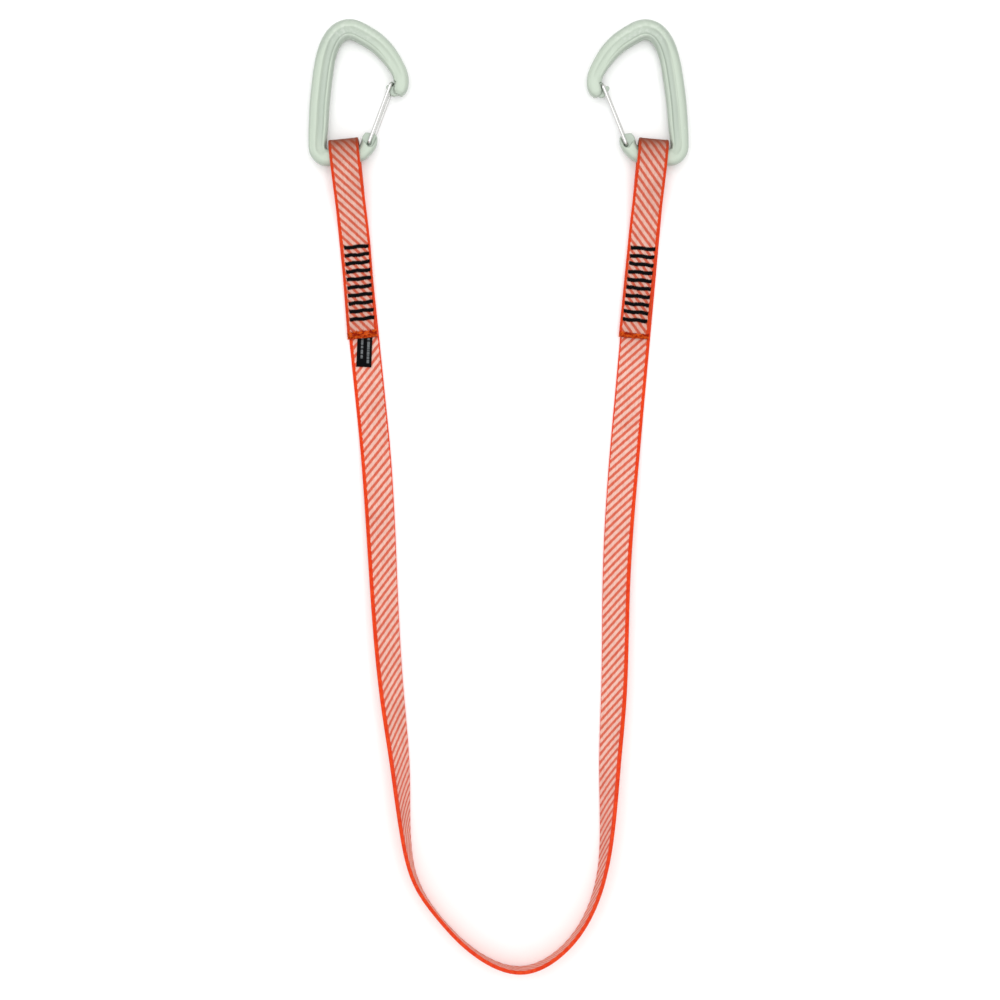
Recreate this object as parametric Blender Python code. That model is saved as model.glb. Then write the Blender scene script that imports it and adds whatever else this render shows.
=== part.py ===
"""A long climbing quickdraw: one length of flat webbing with a sewn eye at each end, and a
wire-gate carabiner hanging in each eye, lying in a U on a flat surface.

All sizes below are in millimetres, and the meshes are scaled to metres when they are made.
The part's frame: +Z up from the surface it lies on, +Y from the bend of the webbing towards
the carabiners, origin under the middle of the whole object.
"""

import math

import bmesh
import bpy
import numpy as np
from mathutils import Matrix, Vector

METRES = 0.001
SIDES = ("left", "right")

# Webbing: flat polyamide tape, laid in a U.
WIDTH = 20.4
THICK = 2.2
STATION = 9.0  # distance between the sections of the swept tape

# Where each end's fold lies on the surface, and how far the leg leans towards the middle.
FOLD_TOP = {"left": (-105.2, 240.6), "right": (104.8, 240.6)}
LEG_LEAN = {"left": 5.8, "right": 5.2}
LAYOUT_MIDDLE = (-0.25, -0.09)  # the middle of the laid-out object, which becomes the origin

# The tape's route between the two legs: x, y, and its twist from flat (0) through on edge (90)
# to leaning inwards.
BEND_ROUTE = (
    (-78.3, -57.9, 27.0),
    (-72.1, -138.9, 43.0),
    (-66.7, -185.9, 58.0),
    (-62.7, -233.0, 79.0),
    (-56.3, -261.1, 89.0),
    (-39.1, -287.6, 95.0),
    (-16.6, -309.2, 94.0),
    (16.6, -321.2, 91.5),
    (44.0, -307.0, 90.0),
    (58.5, -287.8, 87.0),
    (68.7, -260.5, 81.0),
    (72.7, -233.4, 71.0),
    (75.1, -182.9, 51.0),
    (77.7, -138.9, 38.0),
    (79.7, -57.9, 28.0),
)
LEG_TWIST = 5.0  # twist of the tape where the legs leave their straight ends
LEG_STRAIGHT = 25.0  # how far past the flex points the tape keeps the legs' own line

# The sewn end, measured along the leg from the top of its fold.
EYE_RADIUS = 6.2  # inside radius of the fold round the carabiner's bar
EYE_SLACK = 3.1  # how far the bar lies below the middle of the fold
EYE_JOIN = 70.0  # where the flap comes down onto the tape
EYE_CLOSED = 0.88  # share of that way at which the eye's gap ends
FLAP_STEPS = 12
EYE_STEPS = 10
FLAP_END = 134.5
FLEX_AT = 180.0  # where the leg folds up from the surface
FLEX_GAP = 3.0

# Bar tacks: rows of thread through both layers.
TACK_COUNT = 10
TACK_FIRST = 73.0
TACK_PITCH = 5.43
TACK_LENGTH = 16.5
TACK_BREADTH = 2.2
TACK_THREAD = 0.8
TACK_SUNK = 0.2  # how deep the row is pulled into the top of the flap
TACK_LIFT = 0.15  # its underside above the surface that the tape lies on
TACK_UNDER = 0.7  # the row's thickness underneath, as a share of its thickness on top
TACK_UNDER_ROOM = 1.5  # the space below the row, as a share of the usual clearance

GAP = 0.3  # clearance between neighbouring pieces

# Overlock seam on the cut end of the flap, and the label tucked under it.
HEM_BREADTH = 4.8
HEM_THICK = 0.8
HEM_SUNK = 0.2
LABEL_SIZE = (10.2, 23.2)
LABEL_THICK = 0.4
LABEL_FROM = 131.5
LABEL_SINK = 0.1
LABEL_ASIDE = -1.1
LABEL_TURN = -8.0

# Carabiner: asymmetric D, I-section. x and y from the middle of the bar in the eye, then the
# width in the plane, the thickness and the depth of the groove in each face.
BODY_ROUTE = (
    (17.5, 15.4, 7.0, 6.6, 0.0),
    (17.3, 12.6, 10.2, 8.0, 0.0),
    (16.9, 9.3, 10.8, 8.6, 0.0),
    (15.8, 6.4, 10.2, 8.8, 0.0),
    (14.0, 3.9, 9.6, 9.0, 0.0),
    (11.0, 1.0, 9.0, 9.0, 0.0),
    (5.2, 0.7, 10.8, 9.4, 0.0),
    (0.0, 0.0, 11.2, 9.4, 0.0),
    (-10.6, -1.1, 11.2, 9.4, 0.0),
    (-13.2, -0.9, 11.4, 9.4, 0.0),
    (-16.1, 0.9, 11.7, 9.2, 0.5),
    (-17.8, 4.0, 12.0, 9.0, 0.9),
    (-18.1, 9.0, 12.3, 8.9, 1.1),
    (-17.9, 14.0, 12.8, 8.7, 1.2),
    (-17.5, 20.0, 13.3, 8.6, 1.3),
    (-17.1, 29.4, 13.5, 8.4, 1.3),
    (-15.0, 52.2, 13.6, 8.4, 1.3),
    (-11.3, 71.8, 13.3, 9.0, 1.3),
    (-6.8, 80.8, 13.3, 9.8, 1.2),
    (-1.5, 85.1, 13.4, 10.4, 1.1),
    (4.5, 86.0, 13.6, 11.0, 1.1),
    (12.3, 82.9, 13.6, 11.0, 1.1),
    (20.9, 77.5, 13.3, 11.0, 1.1),
    (28.5, 70.2, 12.5, 10.8, 1.0),
    (34.6, 61.6, 11.0, 10.4, 0.8),
    (37.9, 54.5, 10.4, 10.0, 0.4),
    (38.3, 48.5, 10.2, 9.4, 0.0),
    (37.2, 44.0, 8.8, 8.4, 0.0),
    (36.3, 41.4, 6.0, 6.6, 0.0),
)
BODY_SECTIONS = 76
BODY_CHAMFER = 3.0
CHAMFER_MOST = (0.6, 0.68)  # of half the width and of half the thickness, where the section is small
FACE_STEPS = 5  # points across a face that has no groove
GROOVE_HALF = 1.9
GROOVE_FLOOR = 0.4  # the floor's breadth as a share of the groove's
GROOVE_ASIDE = -1.7  # the groove runs nearer the inner side
BASKET_HALF = 5.53  # half the thickness where the basket lies on the surface
BASKET_REACH = 88.0
CARABINER_TURN = {"left": 0.0, "right": 1.4}  # how each lies on the surface
CARABINER_ASIDE = 0.5  # how far the tape sits from the middle of the bar, away from the spine

# Wire gate: a loop of round wire whose ends pivot in the lug and which closes on the nose.
WIRE_RADIUS = 1.2
GATE_HALF = 3.5  # the middle of each leg from the middle of the carabiner
GATE_SKEW = 12.0  # the ends sit in offset holes, so the loop lies a little askew
LOOP_CORNER = 2.0
PIVOT = (17.45, 8.1)
LATCH = (32.4, 48.8)  # where the loop's cross wire lies in the nose
WEB_HALF = 2.0  # half the thickness of the lug and of the nose between the wires
HOOK_ROOT = (33.6, 43.4, 3.0)  # x, y and radius
HOOK_TIP = (29.9, 46.4, 1.6)
WIRE_END = 0.55  # from the middle of the carabiner to each end of the wire
PIVOT_HOLE = 1.9
PIVOT_ASIDE = 0.8  # how far the pivot holes share the loop's skew
PIVOT_WALL = 0.15  # half the wall between the two pivot holes
GATE_OPEN = 32.0
GATE_ROOM = 2.35  # space kept on each side of a leg's line in the recesses
LATCH_ROOM = 1.75
LUG_RECESS = 9.0  # how far the lug's recess reaches along the gate and across it
LUG_CLEAR = 0.4  # its extra space round the pivot
LUG_HEEL = (2.0, 3.6)  # where it ends behind the open gate
NOSE_RECESS = (16.0, 2.1, 12.0)  # its reach before the cross wire, past it, and across

ARC_STEP = 15.0  # degrees between points on small arcs
CUTTER = 8.0  # half the height of a cutter that goes right through the carabiner
SHARP = 35.0  # degrees between faces that meet in a sharp edge


def clear_scene():
    for thing in list(bpy.data.objects):
        bpy.data.objects.remove(thing, do_unlink=True)


def material(name, colour, roughness, metallic):
    made = bpy.data.materials.new(name)
    made.use_nodes = True
    shader = made.node_tree.nodes["Principled BSDF"]
    shader.inputs["Base Color"].default_value = (*colour, 1.0)
    shader.inputs["Roughness"].default_value = roughness
    shader.inputs["Metallic"].default_value = metallic
    return made


# ---- curves -------------------------------------------------------------------------------


def distances(points):
    """How far along the line of chords each point lies."""
    steps = np.linalg.norm(np.diff(points, axis=0), axis=1)
    return np.concatenate([[0.0], np.cumsum(steps)])


def spline(at, values, where):
    """The natural cubic spline through values at the places `at`, read at the places `where`."""
    count = len(at)
    gaps = np.diff(at)
    slopes = np.diff(values, axis=0) / gaps[:, None]
    matrix = np.eye(count)
    right = np.zeros_like(values)
    for i in range(1, count - 1):
        matrix[i, i - 1 : i + 2] = (gaps[i - 1], 2 * (gaps[i - 1] + gaps[i]), gaps[i])
        right[i] = 6 * (slopes[i] - slopes[i - 1])
    bends = np.linalg.solve(matrix, right)
    cell = np.clip(np.searchsorted(at, where) - 1, 0, count - 2)
    gap = gaps[cell][:, None]
    low = (where - at[cell])[:, None]
    high = gap - low
    return (
        (bends[cell] * high**3 + bends[cell + 1] * low**3) / (6 * gap)
        + (values[cell] / gap - bends[cell] * gap / 6) * high
        + (values[cell + 1] / gap - bends[cell + 1] * gap / 6) * low
    )


def steady(at, values, where):
    """A smooth curve through values that never overshoots them."""
    gaps = np.diff(at)
    slopes = np.diff(values) / gaps
    lean = np.zeros(len(at))
    for i in range(1, len(at) - 1):
        if slopes[i - 1] * slopes[i] > 0:
            lean[i] = 2 / (1 / slopes[i - 1] + 1 / slopes[i])
    cell = np.clip(np.searchsorted(at, where) - 1, 0, len(at) - 2)
    gap = gaps[cell]
    t = (where - at[cell]) / gap
    return (
        (1 + 2 * t) * (1 - t) ** 2 * values[cell]
        + t * (1 - t) ** 2 * gap * lean[cell]
        + t**2 * (3 - 2 * t) * values[cell + 1]
        + t**2 * (t - 1) * gap * lean[cell + 1]
    )


def arc(centre, radius, start, end):
    """Points on an arc, both ends included, in degrees."""
    count = max(2, round(abs(end - start) / ARC_STEP))
    turns = [math.radians(start + (end - start) * i / count) for i in range(count + 1)]
    return [(centre[0] + radius * math.cos(a), centre[1] + radius * math.sin(a)) for a in turns]


# ---- solids -------------------------------------------------------------------------------


def mesh_of(points, faces):
    mesh = bpy.data.meshes.new("solid")
    mesh.from_pydata([tuple(METRES * c for c in p) for p in points], [], faces)
    shaped = bmesh.new()
    shaped.from_mesh(mesh)
    bmesh.ops.recalc_face_normals(shaped, faces=shaped.faces[:])
    shaped.to_mesh(mesh)
    shaped.free()
    return mesh


def joined(meshes):
    """Several separate solids in one mesh, for a cutter."""
    whole = bmesh.new()
    for mesh in meshes:
        whole.from_mesh(mesh)
    result = bpy.data.meshes.new("solids")
    whole.to_mesh(result)
    whole.free()
    return result


def swept(sections):
    """A solid through closed sections that all have the same number of points."""
    count = len(sections[0])
    points = [p for section in sections for p in section]
    faces = [tuple(range(count)), tuple(range(len(points) - count, len(points)))]
    for row in range(len(sections) - 1):
        for i in range(count):
            j = (i + 1) % count
            low = row * count
            faces.append((low + i, low + j, low + count + j, low + count + i))
    return mesh_of(points, faces)


def prism(outline, low, high):
    """An outline in the xy plane, raised from low to high."""
    return swept([[(x, y, z) for x, y in outline] for z in (low, high)])


def pierced(outer, inner, half):
    """An outline in the yz plane with a hole in it, from x = -half to x = half."""
    flat = bmesh.new()
    edges = []
    for loop in (outer, inner):
        corners = [flat.verts.new((-half * METRES, y * METRES, z * METRES)) for y, z in loop]
        for i, corner in enumerate(corners):
            edges.append(flat.edges.new((corner, corners[(i + 1) % len(corners)])))
    bmesh.ops.triangle_fill(flat, use_beauty=True, edges=edges)
    raised = bmesh.ops.extrude_face_region(flat, geom=flat.faces[:])
    moved = [g for g in raised["geom"] if isinstance(g, bmesh.types.BMVert)]
    bmesh.ops.translate(flat, verts=moved, vec=(2 * half * METRES, 0, 0))
    bmesh.ops.recalc_face_normals(flat, faces=flat.faces[:])
    mesh = bpy.data.meshes.new("pierced")
    flat.to_mesh(mesh)
    flat.free()
    return mesh


def combined(mesh, operation, tool):
    """The mesh after an exact Boolean with the tool."""
    pair = [bpy.data.objects.new(name, data) for name, data in (("base", mesh), ("tool", tool))]
    for thing in pair:
        bpy.context.scene.collection.objects.link(thing)
    cut = pair[0].modifiers.new("cut", "BOOLEAN")
    cut.operation = operation
    cut.solver = "EXACT"
    cut.object = pair[1]
    graph = bpy.context.evaluated_depsgraph_get()
    result = bpy.data.meshes.new_from_object(pair[0].evaluated_get(graph))
    for thing in pair:
        bpy.data.objects.remove(thing, do_unlink=True)
    return result


def empty(name, parent, matrix):
    made = bpy.data.objects.new(name, None)
    bpy.context.scene.collection.objects.link(made)
    made.parent = parent
    made.matrix_basis = matrix
    return made


def node(name, data, look, parent=None, matrix=None):
    """A named piece of the object, with a look of its own."""
    data = data.copy()
    data.materials.clear()
    data.materials.append(look)
    if isinstance(data, bpy.types.Mesh):
        data.shade_smooth()
        data.set_sharp_from_angle(angle=math.radians(SHARP))
    made = bpy.data.objects.new(name, data)
    bpy.context.scene.collection.objects.link(made)
    made.parent = parent
    made.matrix_basis = matrix or Matrix()
    return made


def shift(x, y, z):
    return Matrix.Translation(Vector((x, y, z)) * METRES)


# ---- webbing ------------------------------------------------------------------------------


def along_leg(side, distance):
    """The middle of the tape this far down the leg from the top of its fold."""
    lean = math.radians(LEG_LEAN[side]) * (1 if side == "left" else -1)
    x = FOLD_TOP[side][0] - LAYOUT_MIDDLE[0]
    y = FOLD_TOP[side][1] - LAYOUT_MIDDLE[1]
    return (x + distance * math.sin(lean), y - distance * math.cos(lean))


def bend_stations():
    """x, y and twist at even steps along the tape between the two flex points."""
    straight = (FLEX_AT + FLEX_GAP / 2, FLEX_AT + LEG_STRAIGHT)
    left = [(*along_leg("left", s), twist) for s, twist in zip(straight, (0.0, LEG_TWIST))]
    right = [(*along_leg("right", s), twist) for s, twist in zip(straight, (0.0, LEG_TWIST))]
    bend = np.array(BEND_ROUTE) - (*LAYOUT_MIDDLE, 0.0)
    route = np.vstack([left, bend, right[::-1]])
    at = distances(route[:, :2])
    where = np.linspace(0.0, at[-1], round(at[-1] / STATION) + 1)
    return spline(at, route[:, :2], where), steady(at, route[:, 2], where)


def bend_mesh():
    """The tape as it twists from flat, up onto its edge round the bend, and back to flat."""
    middles, twists = bend_stations()
    runs = np.gradient(middles, axis=0)
    sections = []
    for (x, y), run, twist in zip(middles, runs, np.radians(twists)):
        run = run / np.linalg.norm(run)
        outward = Vector((run[1], -run[0], 0))
        across = outward * math.cos(twist) + Vector((0, 0, math.sin(twist)))
        face = Vector((0, 0, math.cos(twist))) - outward * math.sin(twist)
        height = WIDTH / 2 * math.sin(twist) + THICK / 2 * abs(math.cos(twist))
        middle = Vector((x, y, height))
        corners = ((-1, -1), (1, -1), (1, 1), (-1, 1))
        sections.append(
            [tuple(middle + across * (WIDTH / 2 * a) + face * (THICK / 2 * b)) for a, b in corners]
        )
    return swept(sections)


def flap_line(share):
    """Height of the middle of the flap, and its slope, this share of the way down to the tape."""
    crown = THICK + 2 * EYE_RADIUS + THICK / 2
    drop = crown - 1.5 * THICK
    reach = EYE_JOIN - EYE_RADIUS - THICK
    height = crown - drop * share**2 * (3 - 2 * share)
    slope = -drop / reach * 6 * share * (1 - share)
    return height, slope


def flap_points(shares, side):
    """One face of the flap, between the crown of its fold and the tape."""
    centre = EYE_RADIUS + THICK
    points = []
    for share in shares:
        height, slope = flap_line(share)
        rise = side * THICK / 2 * math.hypot(1, slope)
        points.append((centre + share * (EYE_JOIN - centre), height + rise))
    return points


def leg_mesh(with_label):
    """The end of the tape: folded back over itself round an eye, in the leg's frame."""
    centre = EYE_RADIUS + THICK
    end = FLEX_AT - FLEX_GAP / 2
    rebate = FLAP_END - HEM_BREADTH
    outer = [(end, 0.0)] + arc((centre, centre), centre, 270, 90)
    outer += flap_points(np.linspace(0, 1, FLAP_STEPS + 1)[1:], 1)
    outer += [(rebate, 2 * THICK), (rebate, 2 * THICK - HEM_SUNK - GAP)]
    outer += [(FLAP_END, 2 * THICK - HEM_SUNK - GAP), (FLAP_END, THICK), (end, THICK)]
    inner = arc((centre, centre), EYE_RADIUS, 270, 90)
    inner += flap_points(np.linspace(0, EYE_CLOSED, EYE_STEPS + 1)[1:], -1)
    inner.append((centre + EYE_CLOSED * (EYE_JOIN - centre), THICK))
    mesh = pierced(outer, inner, WIDTH / 2)
    mesh = combined(mesh, "DIFFERENCE", joined([tack_ring(i, GAP) for i in range(TACK_COUNT)]))
    if with_label:
        mesh = combined(mesh, "DIFFERENCE", label_mesh(GAP))
    return mesh


def tack_ring(index, room):
    """A row of thread as a closed loop through both layers, or the space it needs."""
    middle = TACK_FIRST + index * TACK_PITCH
    top = 2 * THICK - TACK_SUNK + TACK_THREAD
    outer = (TACK_LENGTH / 2 + room, TACK_LIFT - TACK_UNDER_ROOM * room, top + room)
    inner = (
        TACK_LENGTH / 2 - TACK_THREAD - room,
        TACK_LIFT + TACK_THREAD * TACK_UNDER + room,
        top - TACK_THREAD - room,
    )
    corners = []
    for half, low, high in (outer, inner):
        corners.append([(-half, low), (half, low), (half, high), (-half, high)])
    half = TACK_BREADTH / 2 + room
    points = [(x, middle + y, z) for y in (-half, half) for loop in corners for x, z in loop]
    faces = []
    for i in range(4):
        j = (i + 1) % 4
        faces += [(i, j, 4 + j, 4 + i), (8 + i, 12 + i, 12 + j, 8 + j)]
        faces += [(i, 8 + i, 8 + j, j), (4 + i, 4 + j, 12 + j, 12 + i)]
    return mesh_of(points, faces)


def hem_mesh():
    """The band of thread over the flap's cut end."""
    top = 2 * THICK - HEM_SUNK + HEM_THICK
    start = FLAP_END - HEM_BREADTH + GAP
    face = FLAP_END + GAP
    outline = (
        (start, top - HEM_THICK),
        (face, top - HEM_THICK),
        (face, THICK + LABEL_THICK + 2 * GAP),
        (face + HEM_THICK, THICK + LABEL_THICK + 2 * GAP),
        (face + HEM_THICK, top),
        (start, top),
    )
    half = WIDTH / 2 + GAP
    return swept([[(x, y, z) for y, z in outline] for x in (-half, half)])


def label_mesh(room):
    """The woven label, or the space it needs under the end of the flap."""
    low = THICK - LABEL_SINK + GAP
    breadth, length = LABEL_SIZE
    x = breadth / 2 + room
    base = prism(
        [(-x, -room), (x, -room), (x, length + room), (-x, length + room)],
        low - room,
        low + LABEL_THICK + room,
    )
    turn = Matrix.Rotation(math.radians(LABEL_TURN), 4, "Z")
    base.transform(shift(LABEL_ASIDE, LABEL_FROM, 0) @ turn)
    return base


# ---- carabiner ----------------------------------------------------------------------------


def body_section(width, thick, groove):
    """The I-section: sideways and up from its middle, its outer side at +width / 2."""
    half, up = width / 2, thick / 2
    cut = min(BODY_CHAMFER, half * CHAMFER_MOST[0], up * CHAMFER_MOST[1])
    face = [
        (half, up - cut),
        (half - cut, up),
        (GROOVE_ASIDE + GROOVE_HALF, up),
        (GROOVE_ASIDE + GROOVE_HALF * GROOVE_FLOOR, up - groove),
        (GROOVE_ASIDE - GROOVE_HALF * GROOVE_FLOOR, up - groove),
        (GROOVE_ASIDE - GROOVE_HALF, up),
        (-half + cut, up),
        (-half, up - cut),
    ]
    if half - cut < GROOVE_ASIDE + GROOVE_HALF or -half + cut > GROOVE_ASIDE - GROOVE_HALF:
        step = (2 * cut - width) / FACE_STEPS
        face[1:-1] = [(half - cut + step * i, up) for i in range(FACE_STEPS + 1)]
    return face + [(x, -z) for x, z in reversed(face)]


def body_sweep():
    route = np.array(BODY_ROUTE)
    at = distances(route[:, :2])
    where = np.linspace(0.0, at[-1], BODY_SECTIONS)
    middles = spline(at, route[:, :2], where)
    sizes = [steady(at, route[:, i], where) for i in (2, 3, 4)]
    runs = np.gradient(middles, axis=0)
    sections = []
    for (x, y), run, *size in zip(middles, runs, *sizes):
        run = run / np.linalg.norm(run)
        # The route runs clockwise seen from above, so its left side faces out.
        section = body_section(*size)
        sections.append([(x - run[1] * s, y + run[0] * s, z) for s, z in section])
    return swept(sections)


def gate_frame(along, inward):
    """A place in the carabiner's plane, measured along the closed gate from its pivot."""
    reach = Vector(LATCH) - Vector(PIVOT)
    run = reach.normalized()
    place = Vector(PIVOT) + run * along + Vector((-run.y, run.x)) * inward
    return tuple(place)


def gate_length():
    return (Vector(LATCH) - Vector(PIVOT)).length


def hook_mesh():
    """The nose's hook: a tapered finger between the two wires."""
    (x0, y0, r0), (x1, y1, r1) = HOOK_ROOT, HOOK_TIP
    heading = math.degrees(math.atan2(y1 - y0, x1 - x0))
    outline = arc((x1, y1), r1, heading - 90, heading + 90)
    outline += arc((x0, y0), r0, heading + 90, heading + 270)
    return prism(outline, -WEB_HALF, WEB_HALF)


def recess_outlines():
    """Where the lug and the nose are thinned so that the wires can lie and swing beside them."""
    swing = math.radians(GATE_OPEN)
    room = GATE_ROOM + LUG_CLEAR
    heel = (LUG_HEEL[0] - GATE_ROOM * math.sin(swing), LUG_HEEL[1] + GATE_ROOM)
    lug = arc((0, 0), room, 180, 270) + [(LUG_RECESS, -room), (LUG_RECESS, LUG_RECESS), heel]
    before, past, across = NOSE_RECESS
    start, end = gate_length() - before, gate_length() + past
    nose = [(start, -GATE_ROOM), (end, -GATE_ROOM), (end, across), (start, across)]
    return [[gate_frame(*place) for place in outline] for outline in (lug, nose)]


def carabiner_mesh():
    body = combined(body_sweep(), "UNION", hook_mesh())
    webs = []
    for outline in recess_outlines():
        webs += [prism(outline, WEB_HALF, CUTTER), prism(outline, -CUTTER, -WEB_HALF)]
    body = combined(body, "DIFFERENCE", joined(webs))
    notch = arc(LATCH, LATCH_ROOM, 0, 360 - ARC_STEP)
    body = combined(body, "DIFFERENCE", prism(notch, -CUTTER, CUTTER))
    holes = []
    for up in (1, -1):
        offset = GATE_HALF * math.tan(math.radians(GATE_SKEW)) * up
        hole = arc(gate_frame(0, offset * PIVOT_ASIDE), PIVOT_HOLE, 0, 360 - ARC_STEP)
        holes.append(prism(hole, *sorted((PIVOT_WALL * up, CUTTER * up))))
    return combined(body, "DIFFERENCE", joined(holes))


def gate_curve():
    """The wire loop, from its pivot, along +Y to the nose and back."""
    far = gate_length()
    corner = LOOP_CORNER
    side = arc((corner, GATE_HALF - corner), corner, 180, 90)
    tip = arc((far - corner, GATE_HALF - corner), corner, 90, 0)
    half = [(0.0, WIRE_END)] + side + tip
    loop = [(y, z) for y, z in half] + [(y, -z) for y, z in reversed(half)]
    curve = bpy.data.curves.new("wire", "CURVE")
    curve.dimensions = "3D"
    curve.bevel_depth = WIRE_RADIUS * METRES
    curve.bevel_resolution = 2
    curve.use_fill_caps = True
    line = curve.splines.new("POLY")
    line.points.add(len(loop) - 1)
    skew = math.tan(math.radians(GATE_SKEW))
    for point, (y, z) in zip(line.points, loop):
        point.co = (-z * skew * METRES, y * METRES, z * METRES, 1.0)
    return curve


# ---- assembly -----------------------------------------------------------------------------


def leg_turn(side):
    """The leg's frame is turned about Z so that its +Y runs down the leg."""
    lean = LEG_LEAN[side] if side == "left" else -LEG_LEAN[side]
    return math.radians(180.0 + lean)


def carabiner_place(side):
    """The carabiner's frame in the leg's frame: on the bar's middle, its basket on the surface."""
    bar = EYE_RADIUS + THICK
    dip = math.asin((bar - BASKET_HALF) / BASKET_REACH)
    flip = 0.0 if side == "left" else math.pi
    aside = CARABINER_ASIDE if side == "left" else -CARABINER_ASIDE
    turn = math.radians(CARABINER_TURN[side]) - leg_turn(side)
    return (
        shift(aside, bar + EYE_SLACK, bar)
        @ Matrix.Rotation(dip, 4, "X")
        @ Matrix.Rotation(turn, 4, "Z")
        @ Matrix.Rotation(flip, 4, "Y")
    )


def gate_place():
    run = Vector(LATCH) - Vector(PIVOT)
    heading = math.atan2(-run.x, run.y)
    return shift(*PIVOT, 0) @ Matrix.Rotation(heading, 4, "Z")


def build():
    clear_scene()
    tape = material("webbing", (0.75, 0.10, 0.04), 0.85, 0.0)
    thread = material("thread", (0.02, 0.02, 0.02), 0.9, 0.0)
    seam = material("seam_thread", (0.45, 0.16, 0.06), 0.9, 0.0)
    woven = material("label", (0.03, 0.03, 0.03), 0.9, 0.0)
    forged = material("anodised_body", (0.62, 0.72, 0.58), 0.35, 0.6)
    wire = material("gate_wire", (0.75, 0.75, 0.76), 0.25, 1.0)

    body_mesh = carabiner_mesh()
    wire_curve = gate_curve()
    node("webbing_bend", bend_mesh(), tape)
    for side in SIDES:
        flex = empty(
            f"{side}_leg_flex",
            None,
            shift(*along_leg(side, FLEX_AT), THICK / 2) @ Matrix.Rotation(leg_turn(side), 4, "Z"),
        )
        from_fold = shift(0, -FLEX_AT, -THICK / 2)
        node(f"{side}_webbing_end", leg_mesh(side == "left"), tape, flex, from_fold)
        for i in range(TACK_COUNT):
            node(f"{side}_bar_tack_{i + 1:02}", tack_ring(i, 0.0), thread, flex, from_fold)
        node(f"{side}_hem_stitch", hem_mesh(), seam, flex, from_fold)
        if side == "left":
            node("woven_label", label_mesh(0.0), woven, flex, from_fold)
        swing = empty(f"{side}_carabiner_swing", flex, from_fold @ carabiner_place(side))
        node(f"{side}_carabiner_body", body_mesh, forged, swing)
        pivot = empty(f"{side}_gate_pivot", swing, gate_place())
        node(f"{side}_wire_gate", wire_curve, wire, pivot)


build()
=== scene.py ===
import math
import random

import bmesh
import bpy
import numpy as np
from mathutils import Matrix, Vector


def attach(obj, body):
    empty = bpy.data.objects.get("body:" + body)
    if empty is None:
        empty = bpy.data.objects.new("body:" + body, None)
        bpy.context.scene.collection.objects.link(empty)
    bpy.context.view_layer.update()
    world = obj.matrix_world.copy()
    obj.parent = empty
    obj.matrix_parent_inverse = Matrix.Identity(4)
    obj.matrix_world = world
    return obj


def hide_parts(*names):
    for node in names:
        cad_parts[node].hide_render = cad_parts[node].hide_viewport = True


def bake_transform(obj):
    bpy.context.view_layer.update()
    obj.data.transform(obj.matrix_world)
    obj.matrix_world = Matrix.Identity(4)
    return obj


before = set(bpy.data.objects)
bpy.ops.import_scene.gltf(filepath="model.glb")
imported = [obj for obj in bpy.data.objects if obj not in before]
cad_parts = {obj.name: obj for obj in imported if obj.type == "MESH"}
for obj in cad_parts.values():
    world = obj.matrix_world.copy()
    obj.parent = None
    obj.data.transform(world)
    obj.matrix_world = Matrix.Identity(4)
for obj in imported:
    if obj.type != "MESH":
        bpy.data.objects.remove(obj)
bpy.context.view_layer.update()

# All shape sizes below are in millimetres, as in the CAD source, and become metres in the meshes.
MM = 0.001
SIDES = ("left", "right")

# ---- sizes that repeat the CAD source ----

WIDTH = 20.4
THICK = 2.2
FOLD_TOP = {"left": (-105.2, 240.6), "right": (104.8, 240.6)}
LEG_LEAN = {"left": 5.8, "right": 5.2}
LAYOUT_MIDDLE = (-0.25, -0.09)
BEND_ROUTE = (
    (-78.3, -57.9, 27.0),
    (-72.1, -138.9, 43.0),
    (-66.7, -185.9, 58.0),
    (-62.7, -233.0, 79.0),
    (-56.3, -261.1, 89.0),
    (-39.1, -287.6, 95.0),
    (-16.6, -309.2, 94.0),
    (16.6, -321.2, 91.5),
    (44.0, -307.0, 90.0),
    (58.5, -287.8, 87.0),
    (68.7, -260.5, 81.0),
    (72.7, -233.4, 71.0),
    (75.1, -182.9, 51.0),
    (77.7, -138.9, 38.0),
    (79.7, -57.9, 28.0),
)
LEG_TWIST = 5.0
LEG_STRAIGHT = 25.0
EYE_RADIUS = 6.2
EYE_SLACK = 3.1
EYE_JOIN = 70.0
FLAP_END = 134.5
FLEX_AT = 180.0
FLEX_GAP = 3.0
TACK_COUNT = 10
TACK_FIRST = 73.0
TACK_PITCH = 5.43
TACK_LENGTH = 16.5
LABEL_SIZE = (10.2, 23.2)
LABEL_THICK = 0.4
LABEL_FROM = 131.5
LABEL_LOW = 2.4
LABEL_ASIDE = -1.1
LABEL_TURN = -8.0

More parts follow.
